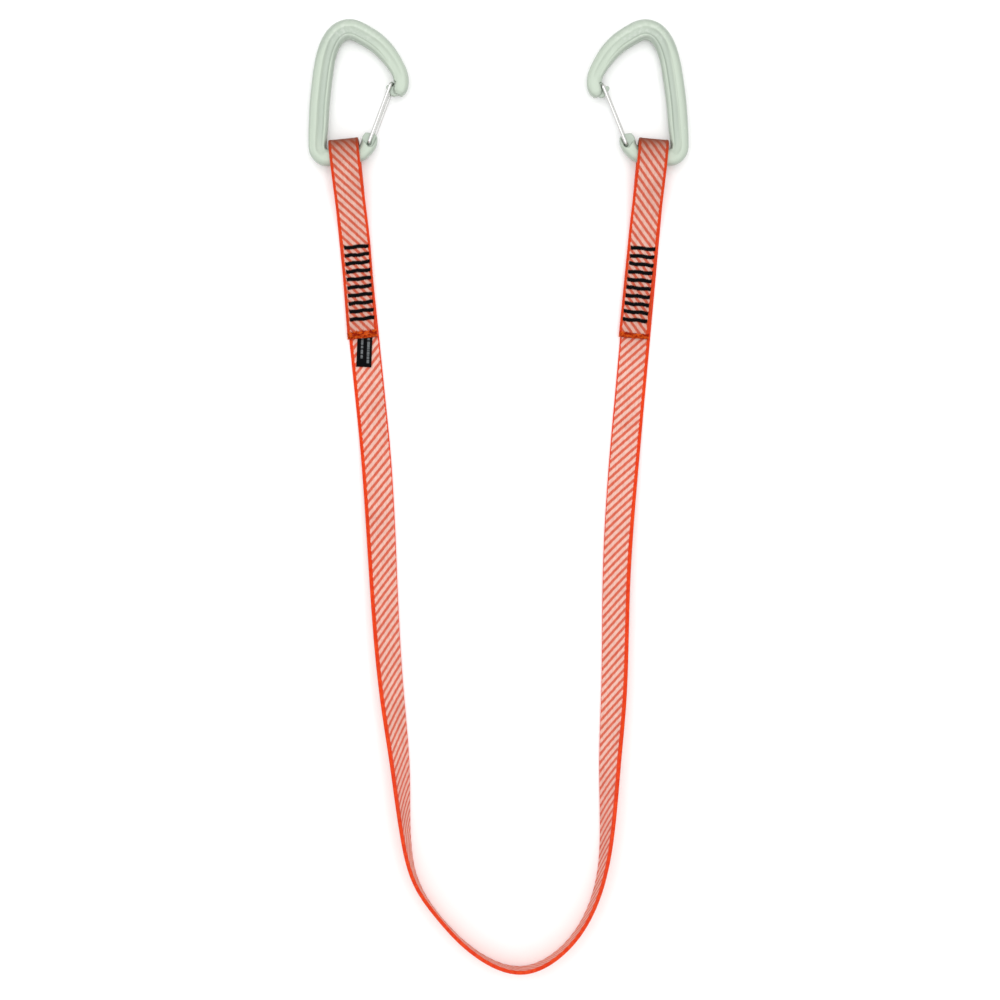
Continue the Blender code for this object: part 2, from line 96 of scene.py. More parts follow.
BODY_ROUTE = (
    (17.5, 15.4, 7.0, 6.6, 0.0),
    (17.3, 12.6, 10.2, 8.0, 0.0),
    (16.9, 9.3, 10.8, 8.6, 0.0),
    (15.8, 6.4, 10.2, 8.8, 0.0),
    (14.0, 3.9, 9.6, 9.0, 0.0),
    (11.0, 1.0, 9.0, 9.0, 0.0),
    (5.2, 0.7, 10.8, 9.4, 0.0),
    (0.0, 0.0, 11.2, 9.4, 0.0),
    (-10.6, -1.1, 11.2, 9.4, 0.0),
    (-13.2, -0.9, 11.4, 9.4, 0.0),
    (-16.1, 0.9, 11.7, 9.2, 0.5),
    (-17.8, 4.0, 12.0, 9.0, 0.9),
    (-18.1, 9.0, 12.3, 8.9, 1.1),
    (-17.9, 14.0, 12.8, 8.7, 1.2),
    (-17.5, 20.0, 13.3, 8.6, 1.3),
    (-17.1, 29.4, 13.5, 8.4, 1.3),
    (-15.0, 52.2, 13.6, 8.4, 1.3),
    (-11.3, 71.8, 13.3, 9.0, 1.3),
    (-6.8, 80.8, 13.3, 9.8, 1.2),
    (-1.5, 85.1, 13.4, 10.4, 1.1),
    (4.5, 86.0, 13.6, 11.0, 1.1),
    (12.3, 82.9, 13.6, 11.0, 1.1),
    (20.9, 77.5, 13.3, 11.0, 1.1),
    (28.5, 70.2, 12.5, 10.8, 1.0),
    (34.6, 61.6, 11.0, 10.4, 0.8),
    (37.9, 54.5, 10.4, 10.0, 0.4),
    (38.3, 48.5, 10.2, 9.4, 0.0),
    (37.2, 44.0, 8.8, 8.4, 0.0),
    (36.3, 41.4, 6.0, 6.6, 0.0),
)
GROOVE_HALF = 2.5
GROOVE_ASIDE = -1.7
BASKET_HALF = 5.53
BASKET_REACH = 88.0
CARABINER_TURN = {"left": 0.0, "right": 1.4}
CARABINER_ASIDE = 0.5
WIRE_RADIUS = 1.2
GATE_HALF = 3.5
GATE_SKEW = 12.0
LOOP_CORNER = 2.0
PIVOT = (17.45, 8.1)
LATCH = (32.4, 48.8)
WEB_HALF = 2.0
HOOK_ROOT = (33.6, 43.4, 3.0)
HOOK_TIP = (29.9, 46.4, 1.6)
WIRE_END = 0.55
PIVOT_HOLE = 1.45
PIVOT_ASIDE = 0.8
PIVOT_WALL = 0.15
GATE_OPEN = 32.0
GATE_ROOM = 2.35
LATCH_ROOM = 1.4
LUG_RECESS = 9.0
LUG_CLEAR = 0.4
LUG_HEEL = (2.0, 3.6)
NOSE_RECESS = (16.0, 2.1, 12.0)
CUTTER = 8.0

# ---- view and light, in metres and watts ----

CAMERA_PLACE = (0.0010, -0.0035, 1.5)
CAMERA_LENS = 79.4
CAMERA_SENSOR = 36.0
CAMERA_SEES = (0.05, 20.0)
SKY_STRENGTH = 0.9
LIGHTS = (  # name, place, size, power
    ("key", (0.0, 0.6, 2.4), 2.4, 21.5),
    ("fill", (0.9, -0.8, 2.0), 2.0, 5.7),
    ("strip", (-1.9, 0.5, 1.1), 0.5, 4.0),
)
FLOOR_REACH = 6.0
FLOOR_DROP = 0.0002

# ---- colours as they look on a screen, 0 to 255 ----

TAPE_RED = ((208, 88, 66), (222, 108, 84))
TAPE_PALE = ((230, 180, 166), (242, 200, 186))
TAPE_PLAIN = ((220, 48, 4), (234, 72, 20))
# dirt and painted shade between the floats
TAPE_DIRT_AND_SHADE = (140, 56, 38)
# painted shade at the fold's crown, and a darker tone down the flap
TAPE_DARKENED = (124, 56, 30)
# painted shade where the tape stands on edge in the bend
TAPE_BEND_SHADE = (206, 68, 40)
TACK_BLACK = ((3, 3, 4), (14, 13, 14))
SEAM_ORANGE = ((170, 34, 2), (244, 104, 30))
LABEL_CLOTH = ((3, 3, 4), (16, 16, 18))
LABEL_YARN = ((62, 66, 68), (132, 136, 138))
BODY_GREEN = ((176, 188, 173), (184, 196, 181))
# painted shade in the channels and on the sides
BODY_SHADE = (156, 167, 156)
BODY_RUBBED = (212, 216, 210)
BODY_SCRATCHED = (208, 216, 206)
WIRE_STEEL = ((204, 204, 202), (222, 222, 220))
FLOOR_WHITE = ((253, 253, 253), (255, 255, 255))

# ---- sizes of the visible detail ----

TAPE_STEP = 0.7  # between sections of the tape
TAPE_EDGE = 0.95  # radius of the tape's rounded selvedge
SELVEDGE_FULL = 0.16  # how far each face of the selvedge stands proud
SELVEDGE_FROM = (7.4, 8.9)  # where it starts and is full, from the middle of the tape
# On the flap, which shows the tape's back, the stripes lie this much nearer the outer side, are this
# much tighter across the tape and this much looser along it.
TURNED_OVER = 0.6
TURNED_ACROSS = 0.036
TURNED_ALONG = 0.95
TURNED_UNTIL = (20.0, 60.0)  # the lower layer shows its front again from here, down from the fold
FOLD_DARKENING = (1.0, 0.6, 0.2, 0.1, 0.27)  # share of darkening: painted shade, darkest at the fold's crown where it bears on the metal, and a patchy darker tone down the flap
FOLD_DARKENING_AT = (2.0, 8.0, 18.0, 55.0, 90.0)  # at these places down from the fold
BEND_SHADE = 0.2  # painted shade: how much darker the tape is coloured where it stands on edge
BEND_UPRIGHT = (0.75, 0.35)  # its normal's height where that starts and is full
STRIPE_PERIOD = 5.85  # of the woven stripe, along the tape
STRIPE_SLOPE = 1.06  # how far the stripe moves along the tape for each step across it
SELVEDGE = (2.3, 0.9)  # breadth of the plain selvedges, outer and inner
WEAVE_COLUMN = 0.6  # breadth of one column of warp floats
WEAVE_FLOAT = 1.9  # length of one float
WEAVE_SOFT = 0.12  # half the breadth of the change from striped to plain
STRIPE_EDGE = (0.215, 0.315)  # shares of the period, off its middle, where pale turns to red
FLOAT_STEP = 0.15  # share of the stripe's place that moves in whole floats
PAST_EDGE = 64.0  # columns, which keep the count of columns above 0
SCALLOP = (2.1, 0.16)  # of the plain selvedge's inner line: turns for each millimetre, and depth
FLAP_ASIDE = {"left": (-0.6, 0.9), "right": (-0.7, -1.2)}  # outwards, at the first row and the hem
ROWS_ASIDE = {"left": (-1.2, 0.1), "right": (-0.3, -1.6)}  # outwards, at the first and last row
ROWS_DOWN = {"left": 0.0, "right": 1.0}  # how far the rows sit below their places in the CAD
ROW_STITCHES = 58
ROW_HALF = 1.42  # half the height of a zigzag
ROW_UNEVEN = 0.18  # how much that differs from stitch to stitch
ROW_TILT = 0.25  # the most that one end of a row sits above its middle
ROW_WAVE = (1.5, 0.26)  # how often and how far a row wanders
ROW_THREAD = 0.25  # radius of the tacks' thread
THREAD_SIDES = 7
ROW_ABOVE = 0.02  # height of the thread's middle over the flap, where it is flat
ROW_BELOW = 0.34  # the same under the tape, over the floor
ROW_UNDER = 0.9  # half height of the zigzag underneath, as a share of that on top
ROW_STEP_UNEVEN = 0.06  # how much the stitches' spacing differs
STITCH_AT = (0.0, 0.2, 0.5, 0.8)  # places along a stitch
STITCH_ARCH = (0.2, 0.1)  # how far its middle bows out, on top and underneath
TIP = (0.6, 0.55)  # a thread's end, in radii: how far it reaches and how narrow it is
PINCH = (0.5, 0.2)  # how far a row pulls the flap down, and how far the flap stands up between rows
PINCH_REACH = 1.15
PINCH_SIDE = (-0.6, 0.9)  # it fades round each end of a row
PINCH_BEFORE = (5.0, 2.0)  # it starts and is full this far before the first row
PINCH_AFTER = (9.0, 6.0)  # it fades and is gone this far before the flap's cut end
HEM_REACH = {"left": 4.6, "right": 2.8}  # of the overlocking, back from the flap's cut end
HEM_LOOPS = 38
HEM_THREAD = 0.24
HEM_LEAN = 0.75
HEM_INSET = 0.2  # of the outermost loops from the selvedges
HEM_BACK_UNEVEN = (-0.8, 0.5)
HEM_LEAN_UNEVEN = 0.2
HEM_RISE = (0.12, 0.12, 0.14)  # a loop's least height, what differs, and its bow
HEM_SUNK = 0.25  # depth of a loop's back end in the tape
HEM_AT = (0.15, 0.4, 0.7, 0.9)  # places along a loop
HEM_WANDER = (0.12, 0.37)  # of the looper threads: reach, and turn for each step
HEM_WAVE = 0.1  # height of their wave
HEM_EDGE = 0.42  # how far the loops stand off the cut end
HEM_CHAINS = ((0.72, 0.5, 0.42), (0.33, 0.6, 0.46))  # share of the reach, swing and lift
HEM_EDGE_CHAIN = (0.15, 0.28, 0.4)  # the same for the one at the edge, its place in millimetres
LABEL_GRID = (20, 50)
LABEL_RIPPLE = (0.03, 0.9, 0.5)  # height, and turns for each step along and across
LABEL_LIFT = 0.05  # of its lower end
LABEL_ROUND = 0.6  # share of its thickness that its sides lose
LABEL_BARS = (  # middle, half breadth, start, end, length of a block
    (1.7, 0.75, 3.5, 17.5, 3.1),
    (-2.6, 0.85, 2.5, 20.5, 2.3),
)
LABEL_BAR_SOFT = (0.08, 0.1)  # half the breadth of a bar's edges, and of its ends
LABEL_THREADS = (0.28, 0.34)  # pitch along and across
WIRE_SIDES = 24
BODY_STEPS = 320  # sections round the carabiner
SECTION_POINTS = 72
SECTION_SQUARE = 3.1  # 2 would be an ellipse
GROOVE_FLOOR = 0.5  # share of the channel that is at its full depth
BODY_VOXEL = 0.00033
BODY_SMOOTH = 5
FLAP_SURE = 40.0  # this far past the flat part of the flap, towards the fold, all is still flap

# ---- places on the carabiner that its finish and painted shade go by, in metres ----

BASKET_FROM = (0.074, 0.081)  # the rope rubs from here
FACE_RISES = (0.058, 0.084)  # the faces rise from here to here
FACE_HEIGHT = (0.0041, 0.0012)  # over the middle, and how much more at the basket
SHADE_BELOW = (0.0002, 0.0011)  # painted shade under the faces, where it starts and is full
FLASH_HALF = 0.00035  # half the height of the forging's flash line
SCRATCHES = (900.0, 90.0, 500.0)  # to a metre, each way
DRAWN_LINES = (5000.0, 40.0, 5000.0)


# ---- camera and light ----


def make_camera():
    data = bpy.data.cameras.new("camera")
    data.lens = CAMERA_LENS
    data.sensor_width = CAMERA_SENSOR
    data.clip_start, data.clip_end = CAMERA_SEES
    made = bpy.data.objects.new("camera", data)
    made.location = CAMERA_PLACE
    bpy.context.scene.collection.objects.link(made)
    bpy.context.scene.camera = made


def soft_light(name, place, size, power):
    """A square light that faces the middle of the object."""
    data = bpy.data.lights.new(name, "AREA")
    data.shape = "SQUARE"
    data.size = size
    data.energy = power
    made = bpy.data.objects.new(name, data)
    made.location = place
    made.rotation_mode = "QUATERNION"
    made.rotation_quaternion = (-Vector(place)).to_track_quat("-Z", "Y")
    bpy.context.scene.collection.objects.link(made)


def make_studio():
    world = bpy.data.worlds.new("studio")
    world.use_nodes = True
    sky = world.node_tree.nodes["Background"]
    sky.inputs["Color"].default_value = (1.0, 1.0, 1.0, 1.0)
    sky.inputs["Strength"].default_value = SKY_STRENGTH
    bpy.context.scene.world = world
    bpy.context.scene.view_settings.view_transform = "Standard"
    for light in LIGHTS:
        soft_light(*light)


# ---- shader building ----


class Shader:
    """A material's node tree, with short calls for the maths in it."""

    def __init__(self, name, **constants):
        self.material = bpy.data.materials.new(name)
        self.material.use_nodes = True
        self.tree = self.material.node_tree
        self.surface = self.tree.nodes["Principled BSDF"]
        for socket, value in constants.items():
            self.surface.inputs[socket.replace("_", " ")].default_value = value

    def node(self, kind, inputs=(), **settings):
        made = self.tree.nodes.new(kind)
        for key, value in settings.items():
            setattr(made, key, value)
        for key, value in dict(inputs).items():
            if isinstance(value, bpy.types.NodeSocket):
                self.tree.links.new(value, made.inputs[key])
            else:
                made.inputs[key].default_value = value
        return made

    def math(self, operation, *values, clamp=False):
        inputs = dict(enumerate(values))
        return self.node("ShaderNodeMath", inputs, operation=operation, use_clamp=clamp).outputs[0]

    def noise(self, where, scale, detail=2.0, roughness=0.5):
        inputs = {"Vector": where, "Scale": scale, "Detail": detail, "Roughness": roughness}
        return self.node("ShaderNodeTexNoise", inputs).outputs["Fac"]

    def ramp(self, value, low, high, to_low=0.0, to_high=1.0):
        """A smooth step from `to_low` at `low` to `to_high` at `high`."""
        inputs = {"Value": value, "From Min": low, "From Max": high}
        inputs.update({"To Min": to_low, "To Max": to_high})
        made = self.node("ShaderNodeMapRange", inputs, interpolation_type="SMOOTHSTEP", clamp=True)
        return made.outputs["Result"]

    def mix(self, share, first, second):
        made = self.node("ShaderNodeMix", data_type="RGBA")
        for key, value in ((0, share), (6, first), (7, second)):
            if isinstance(value, bpy.types.NodeSocket):
                self.tree.links.new(value, made.inputs[key])
            else:
                made.inputs[key].default_value = value if key == 0 else (*value, 1.0)
        return made.outputs[2]

    def between(self, share, colours):
        """A colour between a darker and a lighter one."""
        return self.mix(share, *(srgb(*colour) for colour in colours))

    def axes(self, vector):
        return self.node("ShaderNodeSeparateXYZ", {0: vector}).outputs

    def attribute(self, name):
        return self.node("ShaderNodeAttribute", attribute_name=name).outputs["Vector"]

    def place(self):
        return self.node("ShaderNodeTexCoord").outputs["Object"]

    def scaled(self, where, x, y, z):
        return self.node("ShaderNodeVectorMath", {0: where, 1: (x, y, z)}, operation="MULTIPLY").outputs[0]

    def bump(self, height, distance, strength=1.0, normal=None):
        inputs = {"Height": height, "Distance": distance, "Strength": strength}
        if normal is not None:
            inputs["Normal"] = normal
        return self.node("ShaderNodeBump", inputs).outputs["Normal"]

    def set(self, **links):
        for socket, value in links.items():
            self.tree.links.new(value, self.surface.inputs[socket.replace("_", " ")])


def srgb(red, green, blue):
    """A colour as it looks on a screen, 0 to 255, in the shader's linear units."""
    out = []
    for value in (red, green, blue):
        share = value / 255.0
        out.append(share / 12.92 if share <= 0.04045 else ((share + 0.055) / 1.055) ** 2.4)
    return tuple(out)


def tape_material():
    """Striped polyamide tape. The attribute `tape` holds the place across the tape (outer selvedge
    positive) and along it, in millimetres, and how far its colour is darkened: above 0, painted shade at
    the fold's crown and a patchy darker tone down the flap; below 0, painted shade where the bend stands on
    edge."""
    made = Shader("tape_weave", Roughness=0.82, Sheen_Weight=0.1, Sheen_Roughness=0.45)
    made.surface.inputs["Specular IOR Level"].default_value = 0.15
    across, along, darkening = made.axes(made.attribute("tape"))
    index = made.math("FLOOR", made.math("DIVIDE", across, WEAVE_COLUMN))
    middle = made.math("MULTIPLY", made.math("ADD", index, 0.5), WEAVE_COLUMN)
    # Each column of warp floats starts half a float after its neighbour.
    odd = made.math("MODULO", made.math("ADD", index, PAST_EDGE), 2.0)
    step = made.math("MULTIPLY", odd, 0.5)
    run = made.math("ADD", made.math("DIVIDE", along, WEAVE_FLOAT), step)
    row = made.math("FLOOR", run)
    in_column = made.math("SUBTRACT", made.math("FRACT", made.math("DIVIDE", across, WEAVE_COLUMN)), 0.5)
    in_float = made.math("SUBTRACT", made.math("FRACT", run), 0.5)
    # Whole floats take one colour, which steps the stripe's edge a little.
    float_middle = made.math(
        "MULTIPLY", made.math("SUBTRACT", made.math("ADD", row, 0.5), step), WEAVE_FLOAT
    )
    stepped = made.math("MULTIPLY", float_middle, FLOAT_STEP)
    softened = made.math("ADD", stepped, made.math("MULTIPLY", along, 1 - FLOAT_STEP))
    lean = made.math("MULTIPLY", middle, STRIPE_SLOPE)
    phase = made.math("DIVIDE", made.math("SUBTRACT", softened, lean), STRIPE_PERIOD)
    wave = made.math("ABSOLUTE", made.math("SUBTRACT", made.math("FRACT", phase), 0.5))
    stripe = made.ramp(wave, *STRIPE_EDGE)
    cell = made.node("ShaderNodeCombineXYZ", {0: index, 1: row, 2: 0.0}).outputs[0]
    speck = made.node("ShaderNodeTexWhiteNoise", {"Vector": cell}, noise_dimensions="3D").outputs["Value"]
    turns, deep = SCALLOP
    scallop = made.math("MULTIPLY", made.math("SINE", made.math("MULTIPLY", along, turns)), deep)
    outer_line, inner_line = (WIDTH / 2 - breadth for breadth in SELVEDGE)
    outer = made.ramp(made.math("ADD", across, scallop), outer_line - WEAVE_SOFT, outer_line + WEAVE_SOFT)
    over = made.math("SUBTRACT", scallop, across)
    inner = made.ramp(over, inner_line - WEAVE_SOFT, inner_line + WEAVE_SOFT)
    plain = made.math("ADD", outer, inner, clamp=True)
    where = made.place()
    broad = made.noise(where, scale=55.0)
    striped = made.mix(stripe, made.between(speck, TAPE_PALE), made.between(speck, TAPE_RED))
    colour = made.mix(plain, striped, made.between(speck, TAPE_PLAIN))
    # Dirt and painted shade settle between the floats.
    squared = made.math("MULTIPLY", in_column, in_column)
    ridge = made.math("SUBTRACT", 1.0, made.math("MULTIPLY", squared, 4.0))
    ends = made.math("POWER", made.math("MULTIPLY", made.math("ABSOLUTE", in_float), 2.0), 5.0)
    hump = made.math("MULTIPLY", ridge, made.math("SUBTRACT", 1.0, made.math("MULTIPLY", ends, 0.7)))
    valley = made.ramp(hump, 0.0, 0.45, to_low=0.30, to_high=0.0)
    dirt_and_shade = made.math("ADD", valley, made.ramp(broad, 0.42, 0.75, to_high=0.10), clamp=True)
    shaded = made.mix(dirt_and_shade, colour, srgb(*TAPE_DIRT_AND_SHADE))
    # Painted shade where the tape stands on edge in the bend.
    bend_shade = made.math("MULTIPLY", made.math("MINIMUM", darkening, 0.0), -1.0)
    shaded = made.mix(bend_shade, shaded, srgb(*TAPE_BEND_SHADE))
    # Painted shade at the fold's crown, and a patchy darker tone down the flap.
    patchy = made.ramp(broad, 0.2, 0.8, to_low=0.75)
    darkened_share = made.math("MULTIPLY", made.math("MAXIMUM", darkening, 0.0), patchy)
    shaded = made.mix(darkened_share, shaded, srgb(*TAPE_DARKENED))
    fibre = made.noise(where, scale=5200.0)
    height = made.math("ADD", made.math("MULTIPLY", hump, 0.85), made.math("MULTIPLY", fibre, 0.15))
    made.set(Base_Color=shaded, Normal=made.bump(height, distance=0.00022, strength=0.9))
    made.set(Roughness=made.ramp(broad, 0.3, 0.7, to_low=0.76, to_high=0.9))
    return made.material


def thread_material(name, colours, scale, sheen):
    """Twisted sewing thread, with patches of a darker and a lighter colour and painted shade in the hollows
    of its twist.
    """
    made = Shader(name, Sheen_Weight=sheen, Sheen_Roughness=0.4)
    made.surface.inputs["Specular IOR Level"].default_value = 0.06
    where = made.place()
    patch = made.ramp(made.noise(where, scale, detail=3.0, roughness=0.6), 0.40, 0.58)
    twist = made.node(
        "ShaderNodeTexWave", {"Vector": where, "Scale": 2600.0, "Distortion": 3.0}, bands_direction="DIAGONAL"
    ).outputs["Fac"]
    # Painted shade in the hollows of the twist.
    shade = made.math("MULTIPLY", twist, 0.35)
    hollow_shade = tuple(0.35 * c for c in srgb(*colours[0]))
    colour = made.mix(shade, made.between(patch, colours), hollow_shade)
    made.set(Base_Color=colour, Normal=made.bump(twist, distance=0.00008, strength=0.8))
    made.set(Roughness=made.ramp(patch, 0.0, 1.0, to_low=0.62, to_high=0.78))
    return made.material


def label_material():
    """Black satin-woven label with two broken pale bars, where a real one carries its data."""
    made = Shader("label_weave", Sheen_Weight=0.01, Sheen_Roughness=0.35)
    made.surface.inputs["Specular IOR Level"].default_value = 0.03
    where = made.place()
    across, along, _ = made.axes(where)
    across = made.math("MULTIPLY", across, 1 / MM)
    along = made.math("MULTIPLY", along, 1 / MM)
    pick = made.math("SINE", made.math("MULTIPLY", along, 2 * math.pi / LABEL_THREADS[0]))
    warp = made.math("SINE", made.math("MULTIPLY", across, 2 * math.pi / LABEL_THREADS[1]))
    weave = made.math("MULTIPLY", made.math("ADD", made.math("MULTIPLY", pick, warp), 1.0), 0.5)
    shown = None
    soft, short = LABEL_BAR_SOFT
    for middle, half, start, end, gap in LABEL_BARS:
        off = made.math("ABSOLUTE", made.math("SUBTRACT", across, middle))
        side = made.ramp(off, half - soft, half + soft, to_low=1.0, to_high=0.0)
        first = made.ramp(along, start - short, start + short)
        last = made.ramp(along, end - short, end + short, to_low=1.0, to_high=0.0)
        cell = {0: middle, 1: made.math("DIVIDE", along, gap), 2: 0.0}
        blocks = made.node("ShaderNodeCombineXYZ", cell).outputs[0]
        part = made.ramp(made.noise(blocks, scale=2.4, detail=1.0), 0.38, 0.52, to_low=0.15)
        bar = made.math("MULTIPLY", made.math("MULTIPLY", side, part), made.math("MULTIPLY", first, last))
        shown = bar if shown is None else made.math("MAXIMUM", shown, bar)
    cloth, yarn = (made.between(weave, colours) for colours in (LABEL_CLOTH, LABEL_YARN))
    made.set(Base_Color=made.mix(shown, cloth, yarn))
    made.set(Roughness=made.ramp(weave, 0.0, 1.0, to_low=0.62, to_high=0.8))
    relief = made.math("ADD", weave, made.math("MULTIPLY", shown, 0.8))
    made.set(Normal=made.bump(relief, distance=0.00006, strength=0.9))
    return made.material


def body_material():
    """Satin anodising over a hot forging: a fine tumbled grain, handling scratches, brighter metal
    where edges and the basket are rubbed, and painted shade in the channels and on the sides."""
    made = Shader("anodised_alloy", Metallic=0.25)
    made.surface.inputs["Specular IOR Level"].default_value = 0.5
    where = made.place()
    cloud = made.noise(where, scale=38.0, detail=3.0)
    grain = made.noise(where, scale=2400.0, roughness=0.6)
    edge = made.node("ShaderNodeNewGeometry").outputs["Pointiness"]
    rubbed = made.ramp(edge, 0.53, 0.60)
    broken = made.ramp(made.noise(where, scale=420.0, detail=4.0, roughness=0.65), 0.46, 0.62)
    _, y, z = made.axes(where)
    basket = made.ramp(y, *BASKET_FROM)
    scuffed = made.math("MULTIPLY", made.math("MULTIPLY", basket, broken), 0.45)
    wear = made.math("ADD", made.math("MULTIPLY", rubbed, broken), scuffed, clamp=True)
    scratch = made.noise(made.scaled(where, *SCRATCHES), scale=1.0, detail=3.0, roughness=0.7)
    fine = made.ramp(scratch, 0.60, 0.72)
    base = made.between(cloud, BODY_GREEN)
    # Painted shade: the channels and sides below the raised faces are coloured darker than the faces.
    low, more = FACE_HEIGHT
    raised = made.math("ADD", made.ramp(y, *FACE_RISES, to_high=more), low)
    below = made.math("SUBTRACT", raised, made.math("ABSOLUTE", z))
    shade_mask = made.ramp(below, *SHADE_BELOW)
    shaded = made.mix(made.math("MULTIPLY", shade_mask, 0.6), base, srgb(*BODY_SHADE))
    bright = made.mix(made.math("MULTIPLY", wear, 0.45), shaded, srgb(*BODY_RUBBED))
    made.set(Base_Color=made.mix(made.math("MULTIPLY", fine, 0.2), bright, srgb(*BODY_SCRATCHED)))
    rough = made.ramp(cloud, 0.3, 0.7, to_low=0.36, to_high=0.46)
    rough = made.math("ADD", rough, made.math("MULTIPLY", wear, -0.12))
    made.set(Roughness=made.math("SUBTRACT", rough, made.math("MULTIPLY", fine, 0.06)))
    # The flash line that forging leaves round the outside, half way up.
    seam = made.ramp(made.math("ABSOLUTE", z), 0.0, FLASH_HALF, to_low=1.0, to_high=0.0)
    relief = made.math("SUBTRACT", grain, made.math("MULTIPLY", fine, 0.8))
    first = made.bump(relief, distance=0.00003, strength=0.6)
    made.set(Normal=made.bump(seam, distance=0.00012, strength=0.7, normal=first))
    return made.material


def wire_material():
    """Drawn stainless wire: polished, with faint lines along it."""
    made = Shader("stainless_wire", Metallic=1.0)
    where = made.place()
    drawn = made.noise(made.scaled(where, *DRAWN_LINES), scale=1.0)
    cloud = made.noise(where, scale=160.0, detail=3.0)
    made.set(Base_Color=made.between(cloud, WIRE_STEEL))
    made.set(Roughness=made.ramp(drawn, 0.3, 0.7, to_low=0.16, to_high=0.30))
    made.set(Normal=made.bump(drawn, distance=0.00002, strength=0.5))
    return made.material


def floor_material():
    made = Shader("studio_floor", Roughness=0.9)
    made.surface.inputs["Specular IOR Level"].default_value = 0.1
    grain = made.noise(made.place(), scale=6.0)
    made.set(Base_Color=made.between(grain, FLOOR_WHITE))
    return made.material


# ---- curves ----


def distances(points):
    steps = np.linalg.norm(np.diff(points, axis=0), axis=1)
    return np.concatenate([[0.0], np.cumsum(steps)])


def spline(at, values, where):
    """The natural cubic spline through values at the places `at`, read at the places `where`."""
    count = len(at)
    gaps = np.diff(at)
    slopes = np.diff(values, axis=0) / gaps[:, None]
    matrix = np.eye(count)
    right = np.zeros_like(values)
    for i in range(1, count - 1):
        matrix[i, i - 1 : i + 2] = (gaps[i - 1], 2 * (gaps[i - 1] + gaps[i]), gaps[i])
        right[i] = 6 * (slopes[i] - slopes[i - 1])
    bends = np.linalg.solve(matrix, right)
    cell = np.clip(np.searchsorted(at, where) - 1, 0, count - 2)
    gap = gaps[cell][:, None]
    low = (where - at[cell])[:, None]
    high = gap - low
    return (
        (bends[cell] * high**3 + bends[cell + 1] * low**3) / (6 * gap)
        + (values[cell] / gap - bends[cell] * gap / 6) * high
        + (values[cell + 1] / gap - bends[cell + 1] * gap / 6) * low
    )


def steady(at, values, where):
    """A smooth curve through values that never overshoots them."""
    gaps = np.diff(at)
    slopes = np.diff(values) / gaps
    lean = np.zeros(len(at))
    for i in range(1, len(at) - 1):
        if slopes[i - 1] * slopes[i] > 0:
            lean[i] = 2 / (1 / slopes[i - 1] + 1 / slopes[i])
    cell = np.clip(np.searchsorted(at, where) - 1, 0, len(at) - 2)
    gap = gaps[cell]
    t = (where - at[cell]) / gap
    return (
        (1 + 2 * t) * (1 - t) ** 2 * values[cell]
        + t * (1 - t) ** 2 * gap * lean[cell]
        + t**2 * (3 - 2 * t) * values[cell + 1]
        + t**2 * (t - 1) * gap * lean[cell + 1]
    )


def arc(centre, radius, start, end, step=5.0):
    count = max(2, round(abs(end - start) / step))
    turns = [math.radians(start + (end - start) * i / count) for i in range(count + 1)]
    return [(centre[0] + radius * math.cos(a), centre[1] + radius * math.sin(a)) for a in turns]


def smooth(value, low, high):
    t = np.clip((value - low) / (high - low), 0, 1)
    return t * t * (3 - 2 * t)


# ---- meshes ----


def mesh_of(name, points, faces):
    """Points in millimetres become a mesh in metres, its faces turned outwards."""
    mesh = bpy.data.meshes.new(name)
    mesh.from_pydata([tuple(MM * c for c in p) for p in points], [], faces)
    shaped = bmesh.new()
    shaped.from_mesh(mesh)
    bmesh.ops.recalc_face_normals(shaped, faces=shaped.faces[:])
    shaped.to_mesh(mesh)
    shaped.free()
    return mesh


def swept_faces(count, rows, base=0):
    """Faces of a closed tube of `rows` rings with `count` points each, capped at both ends."""
    faces = [tuple(base + i for i in range(count))]
    faces.append(tuple(base + (rows - 1) * count + i for i in range(count)))
    for row in range(rows - 1):
        low = base + row * count
        for i in range(count):
            j = (i + 1) % count
            faces.append((low + i, low + j, low + count + j, low + count + i))
    return faces


def swept(sections):
    points = [p for section in sections for p in section]
    return mesh_of("solid", points, swept_faces(len(sections[0]), len(sections)))


def prism(outline, low, high):
    return swept([[(x, y, z) for x, y in outline] for z in (low, high)])


def joined(meshes):
    whole = bmesh.new()
    for mesh in meshes:
        whole.from_mesh(mesh)
    result = bpy.data.meshes.new("solids")
    whole.to_mesh(result)
    whole.free()
    return result


def modified(mesh, modifiers):
    """The mesh after a list of (type, settings) modifiers."""
    holder = bpy.data.objects.new("base", mesh)
    bpy.context.scene.collection.objects.link(holder)
    tools = []
    for kind, settings in modifiers:
        modifier = holder.modifiers.new(kind, kind)
        for key, value in settings.items():
            if isinstance(value, bpy.types.Mesh):
                value = bpy.data.objects.new("tool", value)
                bpy.context.scene.collection.objects.link(value)
                tools.append(value)
            setattr(modifier, key, value)
    graph = bpy.context.evaluated_depsgraph_get()
    result = bpy.data.meshes.new_from_object(holder.evaluated_get(graph))
    for thing in [holder, *tools]:
        bpy.data.objects.remove(thing, do_unlink=True)
    return result


